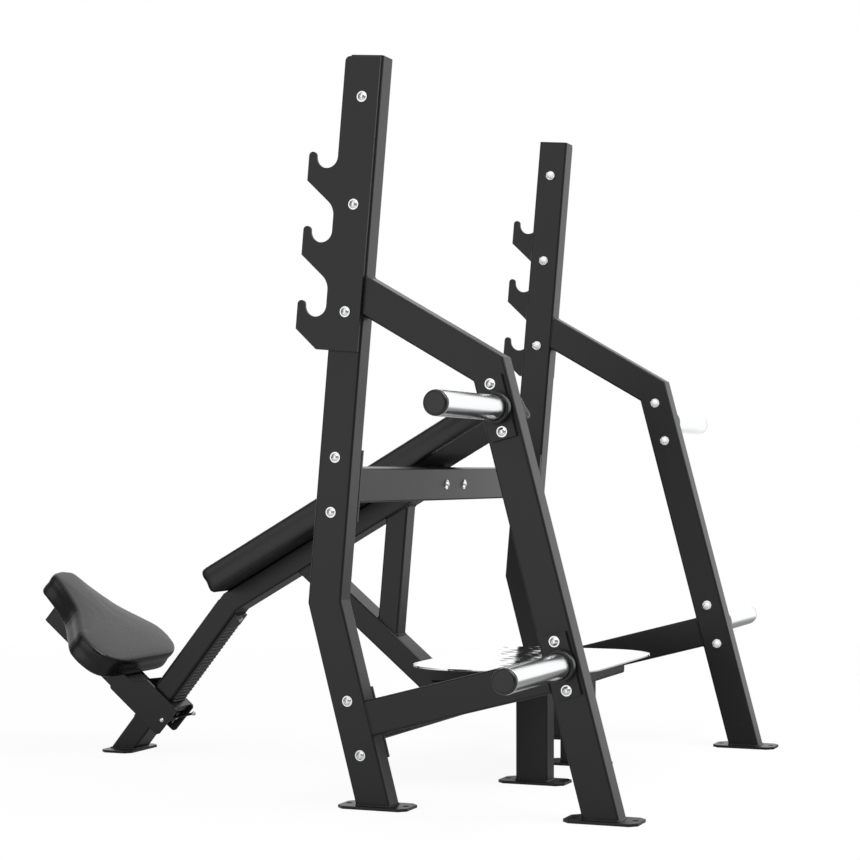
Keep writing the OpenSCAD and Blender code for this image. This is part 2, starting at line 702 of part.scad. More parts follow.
// Seat pad seen from above: a narrow front lobe that widens to the rear, through points from tip to tail
seat_shape = [
  [0, 0], [0.012, 0.165], [0.05, 0.26], [0.17, 0.315], [0.3, 0.405], [0.43, 0.53], [0.566, 0.765],
  [0.68, 0.955], [0.79, 0.998], [0.89, 0.958], [0.953, 0.87], [0.99, 0.71], [1, 0.48], [1, 0]
];
seat_curve_steps = 3;
function blend(a, b, c, d, t) = 0.5 * (2 * b + (c - a) * t + (2 * a - 5 * b + 4 * c - d) * t * t
  + (3 * b - a - 3 * c + d) * t * t * t);
function seat_point(i) = let (k = max(0, min(len(seat_shape) - 1, i)))
  [seat_half * seat_shape[k][1], seat_len * seat_shape[k][0]];
seat_half_outline = [for (i = [0:len(seat_shape) - 2], s = [0:seat_curve_steps - 1])
  blend(seat_point(i - 1), seat_point(i), seat_point(i + 1), seat_point(i + 2), s / seat_curve_steps)];
seat_outline = concat(
  seat_half_outline, [[0, seat_len]],
  [for (i = [len(seat_half_outline) - 1:-1:1]) [-seat_half_outline[i][0], seat_half_outline[i][1]]]
);
seat_hub = [0, 0.64 * seat_len];

module on_bench() at(0, bench_top, bench_lean) rotate([90, 0, 0])
  translate([0, pad_over - pad_len / 2, board_seat]) children();
module on_seat() at(0, seat_root, seat_lean) translate([0, -seat_front, seat_base + board_seat]) children();

module back_pad() color(vinyl) on_bench() cushion(pad_outline, [0, 0]);
module back_board() color(timber) on_bench() board(pad_outline);
module seat_pad() color(vinyl) on_seat() cushion(seat_outline, seat_hub);
module seat_board() color(timber) on_seat() board(seat_outline);

// Horns
module at_horn(drop) at(outer_x, corner, -leg_lean) translate([0, 0, -drop]) children();

// Chromed tube, turned down at its root so that the stop ring stays between plate and shoulder
module horn(drop) color(chrome) at_horn(drop) translate([plate_t, 0, 0]) rotate([0, 90, 0]) difference() {
  union() {
    cylinder(d = horn_root_d, h = horn_l);
    translate([0, 0, collar_w + collar_play]) cylinder(d = horn_d, h = horn_l - collar_w - collar_play);
  }
  translate([0, 0, -past]) cylinder(d = horn_d - 2 * horn_wall, h = horn_l + 2 * past);
}

module horn_plate(drop) color(coat) at_horn(drop) rotate([0, 90, 0]) linear_extrude(plate_t) difference() {
  square([horn_plate_l, horn_plate_w], center = true);
  for (s = [-1, 1]) translate([s * horn_screw_gap / 2, 0]) circle(d = screw_hole_d);
}

module horn_collar(drop) color(plastic) at_horn(drop) translate([plate_t, 0, 0]) rotate([0, 90, 0])
  difference() {
    cylinder(d = collar_d, h = collar_w);
    translate([0, 0, -past]) cylinder(d = horn_root_d + 2 * collar_play, h = collar_w + 2 * past);
  }

module horn_cap(drop) color(plastic) at_horn(drop) translate([plate_t + horn_l, 0, 0]) {
  translate([-cap_plug, 0, 0]) across(horn_d - 2 * horn_wall - 2 * plug_play, cap_plug);
  rotate([0, 90, 0]) rotate_extrude() difference() {
    square([horn_cap_d / 2, horn_cap_t]);
    translate([horn_cap_d / 2 - horn_cap_round, horn_cap_t - horn_cap_round])
      corner_cut(horn_cap_round, 1, 1);
  }
}

// Spotter's step
bearer_top = tread_h - tread_t;
bearer_base = bearer_top - bearer_h;
step_x = step_span / 2;

module tread_plate() color(alloy) at(0, [tread_front + tread_l / 2, bearer_top], 0)
  linear_extrude(tread_t) rounded(tread_w, tread_l, tread_corner);

module step_bearer() color(coat) at(step_x, [bearer_front, bearer_top - bearer_h / 2], 0) rotate([-90, 0, 0])
  tube(tube_d, bearer_h, bearer_rear - tube_d - bearer_front);

// Bar across the rear ends of the bearers
module step_bar() color(coat)
  at(-step_x - tube_d / 2, [bearer_rear - tube_d / 2, bearer_top - bearer_h / 2], 0)
    rotate([0, 90, 0]) tube(bearer_h, tube_d, step_span + tube_d);

// A gusset from each bearer down to the top and the rear face of the lower cross member
module step_bracket() color(coat) difference() {
  at(step_x - plate_t / 2, [0, 0], 0) side_plate(plate_t) polygon([
    [bearer_front, bearer_base], [bearer_front + bracket_l, bearer_base], lower_cross + [tube_d / 2, 0],
    lower_cross, [bearer_front, lower_cross[1]]
  ]);
  at(0, lower_cross, -leg_lean) translate([-far, -tube_d / 2 - tube_w, -far])
    cube([2 * far, tube_d + tube_w, far + tube_w / 2]);
}

module step_leg() color(coat) at(step_x, [step_leg_y, foot_t], 0) tube(tube_d, tube_w, bearer_base - foot_t);

// A domed head with its base at the origin, that points to +X
module domed(d) {
  dome = head_h - head_rim;
  r = (d * d / 4 + dome * dome) / 2 / dome;
  rotate([0, 90, 0]) rotate_extrude() intersection() {
    translate([0, head_h - r]) circle(r);
    square([d / 2, head_h]);
  }
}

// Screws with their heads to +X and the clamped parts between 0 and -grip
module screw() color(zinc) difference() {
  union() {
    translate([washer_t, 0, 0]) domed(head_d);
    translate([-grip - washer_t - nut_h, 0, 0]) across(screw_d, grip + 2 * washer_t + nut_h + past);
  }
  translate([washer_t + head_h - socket_t, 0, 0]) rotate([0, 90, 0])
    cylinder(d = socket_af / cos(30), h = socket_t + past, $fn = 6);
}

module ring(outer, inner, l) rotate([0, 90, 0]) difference() {
  cylinder(d = outer, h = l);
  translate([0, 0, -past]) cylinder(d = inner, h = l + 2 * past);
}

module washers() color(zinc) {
  ring(washer_d, screw_hole_d, washer_t);
  translate([-grip - washer_t, 0, 0]) ring(washer_d, screw_hole_d, washer_t);
}

// Hexagon with a domed end
module cap_nut() color(zinc) translate([-grip - washer_t, 0, 0]) rotate([0, -90, 0]) difference() {
  union() {
    cylinder(d = nut_af / cos(30), h = nut_h, $fn = 6);
    rotate_extrude() intersection() {
      translate([0, nut_h]) circle(d = nut_af - 1);
      translate([0, nut_h - past]) square(nut_af);
    }
  }
  translate([0, 0, -past]) cylinder(d = screw_d + 2 * plug_play, h = nut_h + past + plug_play);
}

// Every place where a screw clamps a plate to a tube
module at_screws() {
  both_sides() {
    at(outer_x + plate_t, knee, upright_lean) for (i = [0:2])
      translate([0, 0, rest_screw_top - i * rest_screw_pitch]) children();
    at(outer_x, knee, upright_lean) for (s = [-1, 1])
      translate([0, 0, upper_cross_at + s * end_screw_gap / 2]) children();
    at(outer_x, knee, -leg_lean) for (s = [-1, 1])
      translate([0, 0, s * end_screw_gap / 2 - lower_cross_at]) children();
    at(outer_x + plate_t, corner, -leg_lean) for (drop = horn_drops, s = [-1, 1])
      translate([0, 0, s * horn_screw_gap / 2 - drop]) children();
  }
  for (x = [-1, 1] * flange_screw_gap / 2) {
    at(x, upper_cross, upright_lean) translate([0, tube_d / 2, 0]) rotate(90) children();
    at(x, lower_cross, -leg_lean) translate([0, tube_d / 2, 0]) rotate(90) children();
  }
}

// Seat carriage
module in_seat() at(0, seat_root, seat_lean) children();
module by_post() at(0, seat_root, post_lean) children();

module seat_arm() color(coat) in_seat() translate([0, -seat_arm_front, tube_d / 2 - arm_down])
  rotate([-90, 0, 0]) tube(seat_arm_w, tube_d, seat_arm_front + seat_arm_rear);

module seat_arm_cap() color(plastic) in_seat() translate([0, -seat_arm_front, tube_d / 2 - arm_down])
  rotate([-90, 0, 0]) {
    translate([0, 0, -cap_rim]) linear_extrude(cap_rim) rounded(seat_arm_w, tube_d, tube_r);
    plug(seat_arm_w, tube_d, cap_plug);
  }

module carriage_plate() color(coat) in_seat() difference() {
  translate([seat_arm_w / 2, 0, 0]) side_plate(plate_t) difference() {
    translate([(side_rear - side_front) / 2, (side_up - arm_down) / 2])
      rounded(side_rear + side_front, side_up + arm_down, side_corner);
    polygon([
      [-side_front - past, seat_base], [-side_step, seat_base], [-side_peak, side_up],
      [-side_peak, side_up + past], [-side_front - past, side_up + past]
    ]);
  }
  translate([seat_arm_w / 2 - past, pin_back, -pin_down]) across(pin_d, plate_t + 2 * past);
}

// A plug in the seat arm's open end whose rim runs on the slide strip
module front_slide() color(plastic) difference() {
  in_seat() translate([0, seat_arm_rear, tube_d / 2 - arm_down]) rotate([-90, 0, 0]) {
    translate([0, 0, -cap_plug]) plug(seat_arm_w, tube_d, cap_plug);
    linear_extrude(slide_rim + plate_t) rounded(seat_arm_w, tube_d, tube_r);
  }
  by_post() translate([-far, post_front - slide_gap, -far]) cube([2 * far, far, 2 * far]);
}

// A bar between the carriage plates that runs on the post's rear face, grooved for the rack
module rear_slide() color(plastic) difference() {
  in_seat() translate([-seat_arm_w / 2, 0, side_up - rear_slide_h])
    cube([seat_arm_w, post_rear + rear_slide_d, rear_slide_h]);
  by_post() translate([-far, -far, -far]) cube([2 * far, far + post_rear + slide_gap, 2 * far]);
  by_post() translate([-rack_w / 2 - carriage_play, 0, -far])
    cube([rack_w + 2 * carriage_play, rack_crest + carriage_play, 2 * far]);
}

module at_pin() in_seat() translate([0, pin_back, -pin_down]) children();
pin_reach = seat_arm_w / 2 + plate_t;

// Headed pin through both carriage plates, with a washer-like nut at its far end
module pawl_pin() color(zinc) at_pin() {
  translate([-pin_reach - nut_h, 0, 0]) across(pin_d, 2 * pin_reach + nut_h + past);
  translate([pin_reach, 0, 0]) domed(pin_head_d);
  translate([-pin_reach - nut_h, 0, 0]) rotate([0, 90, 0])
    cylinder(d = nut_af / cos(30), h = nut_h, $fn = 6);
}

// Pawl, lifted clear of the rack: a hub, and a finger whose tooth drops into the rack's valleys
finger_front = pawl_tip + tooth_t;
finger_back = hub_d / 2 - past;
module pawl_finger(w) translate([-w / 2, 0, 0]) side_plate(w) polygon([
  [finger_front, 0], [finger_front, tooth_up - tooth_edge - tooth_t / 2], [pawl_tip, tooth_up - tooth_edge],
  [pawl_tip, tooth_up], [finger_front, tooth_up + tooth_t], [finger_back, tooth_up + tooth_t],
  [finger_back, 0]
]);
module pawl_hub() translate([-pawl_w / 2, 0, 0]) across(hub_d, pawl_w);
module pawl() color(coat) at_pin() difference() {
  union() {
    pawl_hub();
    pawl_finger(finger_w);
  }
  translate([-pawl_w / 2 - past, 0, 0]) across(pin_d + 2 * pin_play, pawl_w + 2 * past);
}

// Release lever fixed in the pawl, ending in a ball
lever_reach = [knob_back - pin_back, knob_up + pin_down];
lever_angle = atan2(lever_reach[0], lever_reach[1]);
lever_l = norm(lever_reach);
module pawl_knob() color(zinc) at_pin() difference() {
  rotate([-lever_angle, 0, 0]) {
    cylinder(d = lever_d, h = lever_l);
    translate([0, 0, lever_l]) sphere(d = knob_d);
  }
  pawl_hub();
  pawl_finger(finger_w);
}

// Leg spring wound round the pin beside the pawl: one leg lies behind the pawl, one on the carriage
spring_gap = 0.6;
spring_pitch = wire_d + spring_gap;
spring_r = pin_d / 2 + spring_play + wire_d / 2;
spring_leg = 12;
spring_start = pawl_w / 2 + 1;
curl_rings = 8;
curl_sides = 6;
spring_coil = [for (i = [0:curl_rings * spring_turns]) let (a = 360 * i / curl_rings)
  [-spring_start - wire_d / 2 - spring_pitch * i / curl_rings, spring_r * cos(a), spring_r * sin(a)]];
spring_last = spring_coil[len(spring_coil) - 1];
spring_path = concat([spring_coil[0] - [0, 0, spring_leg]], spring_coil, [spring_last + [0, 0, spring_leg]]);
function unit(v) = v / norm(v);
function heading(path, i) = unit(path[min(i + 1, len(path) - 1)] - path[max(i - 1, 0)]);
function wire_ring(path, i) = let (t = heading(path, i), u = unit(cross(t, [1, 0, 0])), v = cross(t, u))
  [for (k = [0:curl_sides - 1]) path[i] + wire_d / 2 * (cos(60 * k) * u + sin(60 * k) * v)];
echo(spring_least_gap = min([for (i = [0:len(spring_coil) - 1], j = [0:len(spring_coil) - 1])
  if (j > i + curl_rings / 2) norm(spring_coil[i] - spring_coil[j])]) - wire_d);

module pawl_spring() color(zinc) at_pin() {
  n = curl_sides;
  last = len(spring_path) - 1;
  polyhedron(
    points = [for (i = [0:last], p = wire_ring(spring_path, i)) p],
    faces = concat(
      [for (i = [0:last - 1], k = [0:n - 1]) [i * n + k, i * n + (k + 1) % n, (i + 1) * n + (k + 1) % n]],
      [for (i = [0:last - 1], k = [0:n - 1]) [i * n + k, (i + 1) * n + (k + 1) % n, (i + 1) * n + k]],
      [for (k = [1:n - 2]) [0, k + 1, k], for (k = [1:n - 2]) [last * n, last * n + k, last * n + k + 1]]
    )
  );
}

on_left() upright();  // upright_left
upright();  // upright_right
on_left() upright_base();  // upright_base_left
upright_base();  // upright_base_right
both_sides() upright_cap();  // upright_caps
on_left() bar_rest();  // bar_rest_left
bar_rest();  // bar_rest_right
on_left() top_arm();  // top_arm_left
top_arm();  // top_arm_right
on_left() rear_leg();  // rear_leg_left
rear_leg();  // rear_leg_right
on_left() side_stretcher();  // side_stretcher_left
side_stretcher();  // side_stretcher_right
on_left() foot_under(frame_x, base_foot);  // upright_foot_left
foot_under(frame_x, base_foot);  // upright_foot_right
on_left() foot_under(frame_x, rear_foot);  // rear_foot_left
foot_under(frame_x, rear_foot);  // rear_foot_right
cross_member(upper_cross, upright_lean);  // upper_cross_member
cross_member(lower_cross, -leg_lean);  // lower_cross_member
end_plates();  // cross_member_end_plates
bench_beam();
front_post();
bench_post();
bench_brace();
bench_flanges();
at(0, [post_foot[0], 0], 0) foot_plate();  // bench_foot
seat_rack();
at(0, post_floor, post_lean) at_rack_screws() rack_screw();  // rack_screws
slide_strip();
back_pad();
back_board();
on_left() horn(horn_drops[0]);  // horn_upper_left
horn(horn_drops[0]);  // horn_upper_right
on_left() horn(horn_drops[1]);  // horn_lower_left
horn(horn_drops[1]);  // horn_lower_right
both_sides() for (drop = horn_drops) horn_plate(drop);  // horn_plates
both_sides() for (drop = horn_drops) horn_collar(drop);  // horn_collars
both_sides() for (drop = horn_drops) horn_cap(drop);  // horn_caps
tread_plate();
both_sides() step_bearer();  // step_bearers
step_bar();
both_sides() step_bracket();  // step_brackets
on_left() step_leg();  // step_leg_left
step_leg();  // step_leg_right
both_sides() foot_under(step_x, [step_leg_y, 0]);  // step_feet
at_screws() screw();  // frame_screws
at_screws() washers();  // frame_washers
at_screws() cap_nut();  // frame_nuts
seat_arm();
seat_arm_cap();
on_left() carriage_plate();  // carriage_plate_left
carriage_plate();  // carriage_plate_right
front_slide();
rear_slide();
seat_pad();
seat_board();
pawl_pin();
pawl_spring();
pawl();
pawl_knob();
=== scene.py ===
import bpy
import math
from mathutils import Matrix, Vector
from mathutils.geometry import convex_hull_2d


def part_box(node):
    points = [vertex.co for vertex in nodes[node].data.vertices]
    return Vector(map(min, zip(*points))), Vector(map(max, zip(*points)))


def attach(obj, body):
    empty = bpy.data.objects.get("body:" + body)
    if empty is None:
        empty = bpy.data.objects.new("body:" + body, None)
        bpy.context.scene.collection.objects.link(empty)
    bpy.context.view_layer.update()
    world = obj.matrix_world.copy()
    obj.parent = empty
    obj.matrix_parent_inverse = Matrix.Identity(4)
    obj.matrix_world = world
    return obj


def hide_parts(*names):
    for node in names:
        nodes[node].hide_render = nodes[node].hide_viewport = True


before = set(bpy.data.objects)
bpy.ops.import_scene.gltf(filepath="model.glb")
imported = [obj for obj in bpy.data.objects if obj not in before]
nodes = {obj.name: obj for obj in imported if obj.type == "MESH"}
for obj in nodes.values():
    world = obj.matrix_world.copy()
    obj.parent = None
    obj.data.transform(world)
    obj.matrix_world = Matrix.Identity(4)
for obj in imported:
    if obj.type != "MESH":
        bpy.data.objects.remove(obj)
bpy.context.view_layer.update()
MM = 0.001
bpy.ops.object.select_all(action="DESELECT")

# Viewpoint. The photograph was taken from behind the bench, on the lifter's right and at hip height,
# with a long lens. Its optical centre lies a little below the middle of the picture.
camera_place = Vector((4.350, 1.8859, 0.652))
camera_azimuth = math.radians(111.586)
camera_elevation = math.radians(-0.797)
picture_pixels = 860
focal_pixels = 2095.3
optical_centre_drop = 14
level = math.cos(camera_elevation)
backwards = Vector((
    math.sin(camera_azimuth) * level, -math.cos(camera_azimuth) * level, math.sin(camera_elevation)
))
bpy.ops.object.camera_add(location=camera_place)
camera = bpy.context.object
camera.rotation_euler = (-backwards).to_track_quat("-Z", "Y").to_euler()
camera.data.lens = camera.data.sensor_width * focal_pixels / picture_pixels
camera.data.shift_y = optical_centre_drop / picture_pixels
bpy.context.scene.camera = camera
bpy.context.scene.view_settings.view_transform = "Standard"


# Studio. A pale floor that fades out before its edge and is clear from below, and one large soft lamp.
# The white surround is brightest on the far side, beside the camera and overhead, and dim between them,
# so that the tubes show dark corner lines.
def linear(shade):
    """An sRGB hex colour as linear red, green, blue and alpha."""
    parts = [int(shade[i:i + 2], 16) / 255 for i in (1, 3, 5)]
    return [p / 12.92 if p <= 0.04045 else ((p + 0.055) / 1.055) ** 2.4 for p in parts] + [1.0]


def add(tree, kind, settings=(), inputs=()):
    """Adds a shader node with its settings. An input is a value, or the output that feeds it."""
    made = tree.nodes.new("ShaderNode" + kind)
    for name, value in dict(settings).items():
        setattr(made, name, value)
    for name, value in dict(inputs).items():
        if isinstance(value, bpy.types.NodeSocket):
            tree.links.new(value, made.inputs[name])
        else:
            made.inputs[name].default_value = value
    return made


def start_material(name):
    """An empty material, its node tree and its object coordinates in metres."""
    made = bpy.data.materials.new(name)
    made.use_nodes = True
    made.node_tree.nodes.clear()
    return made, made.node_tree, add(made.node_tree, "TexCoord").outputs["Object"]


surround_light = 0.75
surround_dim = 0.16
far_light = 1.08
far_wall = (-0.95, 0.10, 0.30)
far_edge = (-0.1, 0.6)
near_light = 1.17
near_wall = (0.92, -0.38, 0.10)
near_edge = (0.7, 0.97)
top_light = 0.95
ceiling = (0.35, 0.15, 0.92)
ceiling_edge = (0.74, 0.94)
world = bpy.data.worlds.new("studio_surround")
bpy.context.scene.world = world
world.use_nodes = True
tree = world.node_tree
tree.nodes.clear()
outlook = add(tree, "TexCoord").outputs["Generated"]
path = add(tree, "LightPath")


def wall_glow(wall, edge, light):
    """How bright the surround is on the side of one wall: dim out to its edge, then full."""
    inwards = add(tree, "VectorMath", {"operation": "DOT_PRODUCT"}, {0: outlook, 1: wall})
    made = add(tree, "MapRange", {"interpolation_type": "SMOOTHSTEP"}, {
        "Value": inwards.outputs["Value"], "From Min": edge[0], "From Max": edge[1],
        "To Min": surround_dim, "To Max": light
    })
    return made.outputs[0]


far_glow = wall_glow(far_wall, far_edge, far_light)
near_glow = wall_glow(near_wall, near_edge, near_light)
top_glow = wall_glow(ceiling, ceiling_edge, top_light)
walls = add(tree, "Math", {"operation": "MAXIMUM"}, {0: far_glow, 1: near_glow})
mirrored = add(tree, "Math", {"operation": "MAXIMUM"}, {0: walls.outputs[0], 1: top_glow})
glossy = add(tree, "Math", {"operation": "MAXIMUM"}, {
    0: path.outputs["Is Glossy Ray"], 1: path.outputs["Is Transmission Ray"]
})
indirect = add(tree, "Mix", inputs={0: glossy.outputs[0], 2: surround_light, 3: mirrored.outputs[0]})
strength = add(tree, "Mix", inputs={0: path.outputs["Is Camera Ray"], 2: indirect.outputs[0], 3: 1.0})
surround = add(tree, "Background", inputs={
    "Color": linear("#ffffff"), "Strength": strength.outputs[0]
})
add(tree, "OutputWorld", inputs={"Surface": surround.outputs[0]})

floor_radius = 4.0
floor_corners = 96
floor_fade = (2.2, 3.9)
floor_glow = 0.92
# In reflections the floor glows, with a painted shade that dims it from the near side to the far side.
floor_far_painted_shade = 0.20
floor_near_painted_glow = 0.78
floor_turn = (-0.3, 1.5)
pale_floor, tree, here = start_material("pale_floor")
matt = add(tree, "BsdfDiffuse", inputs={"Color": linear("#f4f4f4")})
path = add(tree, "LightPath")
place = add(tree, "SeparateXYZ", inputs={0: here})
# Painted shade: the strength of the floor's glow in reflections, low on the far side and higher on the
# near side.
painted_floor_shade = add(tree, "MapRange", inputs={
    "Value": place.outputs["X"], "From Min": floor_turn[0], "From Max": floor_turn[1],
    "To Min": floor_far_painted_shade, "To Max": floor_near_painted_glow
})
shine = add(tree, "MapRange", inputs={
    "Value": path.outputs["Is Camera Ray"], "To Min": painted_floor_shade.outputs[0]
})
white = add(tree, "Emission", inputs={"Color": linear("#ffffff"), "Strength": shine.outputs[0]})
glossy = add(tree, "Math", {"operation": "MAXIMUM"}, {
    0: path.outputs["Is Glossy Ray"], 1: path.outputs["Is Transmission Ray"]
})
seen = add(tree, "Math", {"operation": "MAXIMUM"}, {
    0: path.outputs["Is Camera Ray"], 1: glossy.outputs[0]
})
glow = add(tree, "Math", {"operation": "MULTIPLY"}, {0: seen.outputs[0], 1: floor_glow})
lit = add(tree, "MixShader", inputs={0: glow.outputs[0], 1: matt.outputs[0], 2: white.outputs[0]})
distance = add(tree, "VectorMath", {"operation": "LENGTH"}, {0: here})
fade = add(tree, "MapRange", inputs={
    "Value": distance.outputs["Value"], "From Min": floor_fade[0], "From Max": floor_fade[1]
})
from_below = add(tree, "NewGeometry").outputs["Backfacing"]
hidden = add(tree, "Math", {"operation": "MAXIMUM"}, {0: fade.outputs[0], 1: from_below})
clear = add(tree, "BsdfTransparent")
faded = add(tree, "MixShader", inputs={0: hidden.outputs[0], 1: lit.outputs[0], 2: clear.outputs[0]})
add(tree, "OutputMaterial", inputs={"Surface": faded.outputs[0]})
bpy.ops.mesh.primitive_circle_add(vertices=floor_corners, radius=floor_radius, fill_type="NGON")
floor = bpy.context.object
floor.name = "floor"
floor.data.materials.append(pale_floor)

lamp_aim = Vector((0, 0.1, 0.6))
lamp_place = Vector((0.6, 3.4, 4.2))
lamp_size = 3.0
lamp_watts = 170
bpy.ops.object.light_add(type="AREA", location=lamp_place)
lamp = bpy.context.object
lamp.name = "soft_lamp"
lamp.rotation_euler = (lamp_aim - lamp_place).to_track_quat("-Z", "Y").to_euler()
lamp.data.size = lamp_size
lamp.data.energy = lamp_watts

# Side frames. Rectangular steel tube, cut, mitred and welded, with flat foot plates cut from strip.
# They are blasted and powder coated in one go: a matt black skin with a fine even tooth.
powder_tooth = 2.4 * MM
powder_cloud = 160 * MM
matt_black = "#0b0b0c"
matt_black_worn = "#101011"
merge_gap = 0.01 * MM
flat_angle = math.radians(0.2)
sharp_angle = math.radians(35)


def powder_coat():
    """Polyester powder coat, matt black. Its real tooth is 0.6 mm: it is drawn coarser, so it shows."""
    made, tree, here = start_material("matt_black_powder_coat")
    cloud = add(tree, "TexNoise", inputs={"Vector": here, "Scale": 1 / powder_cloud, "Detail": 3.0})
    tooth = add(tree, "TexNoise", inputs={"Vector": here, "Scale": 1 / powder_tooth, "Detail": 4.0})
    tone = add(tree, "Mix", {"data_type": "RGBA"}, {
        0: cloud.outputs[0], 6: linear(matt_black), 7: linear(matt_black_worn)
    })
    gloss = add(tree, "MapRange", inputs={"Value": tooth.outputs[0], "To Min": 0.30, "To Max": 0.42})
    relief = add(tree, "Bump", inputs={
        "Height": tooth.outputs[0], "Strength": 0.35, "Distance": 0.12 * MM
    })
    skin = add(tree, "BsdfPrincipled", inputs={
        "Base Color": tone.outputs[2], "Roughness": gloss.outputs[0], "IOR": 1.46,
        "Normal": relief.outputs[0]
    })
    add(tree, "OutputMaterial", inputs={"Surface": skin.outputs[0]})
    return made


def coat_node(name, material, edge=0.0, steps=2):
    """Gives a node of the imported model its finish, and breaks its sharp edges by that much."""
    piece = nodes[name]
    piece.data.materials.clear()
    piece.data.materials.append(material)
    if edge:
        piece.modifiers.new("merge", "WELD").merge_threshold = merge_gap
        flat = piece.modifiers.new("one_face_per_side", "DECIMATE")
        flat.decimate_type = "DISSOLVE"
        flat.angle_limit = flat_angle
        broken = piece.modifiers.new("broken_edges", "BEVEL")
        broken.width = edge
        broken.segments = steps
        broken.limit_method = "ANGLE"
        broken.angle_limit = sharp_angle
        broken.use_clamp_overlap = False
        piece.modifiers.new("even_shading", "WEIGHTED_NORMAL")


black_coat = powder_coat()
tube_edge = 0.5 * MM
plate_edge = 0.8 * MM
sides = ("left", "right")
for side in sides:
    for tube in ("upright_", "upright_base_", "top_arm_", "rear_leg_", "side_stretcher_"):
        coat_node(tube + side, black_coat)
    for plate in ("upright_foot_", "rear_foot_", "bar_rest_"):
        coat_node(plate + side, black_coat, plate_edge)

# Welds. A bead of weld metal runs round the end of each tube where it meets the next one or a plate,
# with the ripples of its passes. It is coated with the frame.
bead_radius = 3.0 * MM
bead_step = 3.5 * MM
bead_ripple = 0.82
corner_sunk = 1.6 * MM
plate_sunk = 0.5 * MM
end_depth = 0.05 * MM
facing_limit = 0.9
upright_lean = math.radians(4.9)
leg_lean = math.radians(14.75)
bench_incline = math.radians(30)
brace_fall = math.radians(40.2)


def coat_piece(piece, material, body):
    """Gives a new piece its finish and the body that carries it."""
    piece.data.materials.clear()
    piece.data.materials.append(material)
    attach(piece, body)


def lay_weld(name, tube, towards, sunk=corner_sunk):
    """A rippled bead round the end face of a tube that looks in that direction, sunk into the corner."""
    towards = Vector(towards).normalized()
    corners = [v.co for v in nodes[tube].data.vertices]
    reach = max(c.dot(towards) for c in corners)
    rim = [c for c in corners if reach - c.dot(towards) < end_depth]
    middle = (Vector(map(min, *rim)) + Vector(map(max, *rim))) / 2
    right = Vector((0, 1, 0)) if abs(towards.x) > facing_limit else Vector((1, 0, 0))
    up = towards.cross(right)
    flat = [((c - middle).dot(right), (c - middle).dot(up)) for c in rim]
    outline = [Vector(flat[i]) for i in convex_hull_2d(flat)]
    half = [max(p[k] for p in outline) for k in (0, 1)]
    outline = [Vector([p[k] * (1 - sunk / half[k]) for k in (0, 1)]) for p in outline]
    path = []
    for a, b in zip(outline, outline[1:] + outline[:1]):
        count = max(1, round((b - a).length / bead_step))
        path += [a.lerp(b, i / count) for i in range(count)]
    curve = bpy.data.curves.new(name, "CURVE")
    curve.dimensions = "3D"
    curve.bevel_depth = bead_radius
    curve.bevel_resolution = 1
    bead = curve.splines.new("POLY")
    bead.points.add(len(path) - 1)
    bead.use_cyclic_u = True
    for i, p in enumerate(path):
        bead.points[i].co = (*(middle + right * p[0] + up * p[1]), 1.0)
        bead.points[i].radius = bead_ripple if i % 2 else 1.0
    made = bpy.data.objects.new(name, curve)
    bpy.context.collection.objects.link(made)
    bpy.ops.object.select_all(action="DESELECT")
    made.select_set(True)
    bpy.context.view_layer.objects.active = made
    bpy.ops.object.convert(target="MESH")
    bpy.ops.object.shade_smooth()
    coat_piece(bpy.context.object, black_coat, "frame")


down = (0, 0, -1)
upright_front = (0, -math.cos(upright_lean), math.sin(upright_lean))
leg_front = (0, -math.cos(leg_lean), -math.sin(leg_lean))
leg_rear = (0, math.cos(leg_lean), math.sin(leg_lean))
for side in sides:
    lay_weld("weld_arm_" + side, "top_arm_" + side, upright_front)
    lay_weld("weld_stretcher_front_" + side, "side_stretcher_" + side, leg_front)
    lay_weld("weld_stretcher_rear_" + side, "side_stretcher_" + side, leg_rear)
    lay_weld("weld_upright_foot_" + side, "upright_base_" + side, down, plate_sunk)
    lay_weld("weld_rear_foot_" + side, "rear_leg_" + side, down, plate_sunk)

# Tube plugs. Injection-moulded polyethylene, pressed into the open tops of the uprights.
# The moulded skin is a little glossier than the coat and slightly grained.
moulded_grain = 1.8 * MM


def moulded_plastic():
    """Black polyethylene with a spark-eroded grain, drawn about twice its real size."""
    made, tree, here = start_material("black_moulded_polyethylene")
    grain = add(tree, "TexNoise", inputs={"Vector": here, "Scale": 1 / moulded_grain, "Detail": 2.0})
    tone = add(tree, "Mix", {"data_type": "RGBA"}, {
        0: grain.outputs[0], 6: linear("#0d0d0e"), 7: linear("#151516")
    })
    gloss = add(tree, "MapRange", inputs={"Value": grain.outputs[0], "To Min": 0.24, "To Max": 0.36})
    relief = add(tree, "Bump", inputs={
        "Height": grain.outputs[0], "Strength": 0.25, "Distance": 0.1 * MM
    })
    skin = add(tree, "BsdfPrincipled", inputs={
        "Base Color": tone.outputs[2], "Roughness": gloss.outputs[0], "IOR": 1.51,
        "Normal": relief.outputs[0]
    })
    add(tree, "OutputMaterial", inputs={"Surface": skin.outputs[0]})
    return made


black_plastic = moulded_plastic()
plug_edge = 1.2 * MM
coat_node("upright_caps", black_plastic, plug_edge, steps=3)

# Cross members. Two tubes with a drilled plate welded to each end, bolted between the side frames.
# They are coated like the frames.
for name in ("upper_cross_member", "lower_cross_member"):
    coat_node(name, black_coat, tube_edge)
    lay_weld("weld_" + name + "_left", name, (-1, 0, 0), plate_sunk)
    lay_weld("weld_" + name + "_right", name, (1, 0, 0), plate_sunk)
coat_node("cross_member_end_plates", black_coat, plate_edge)

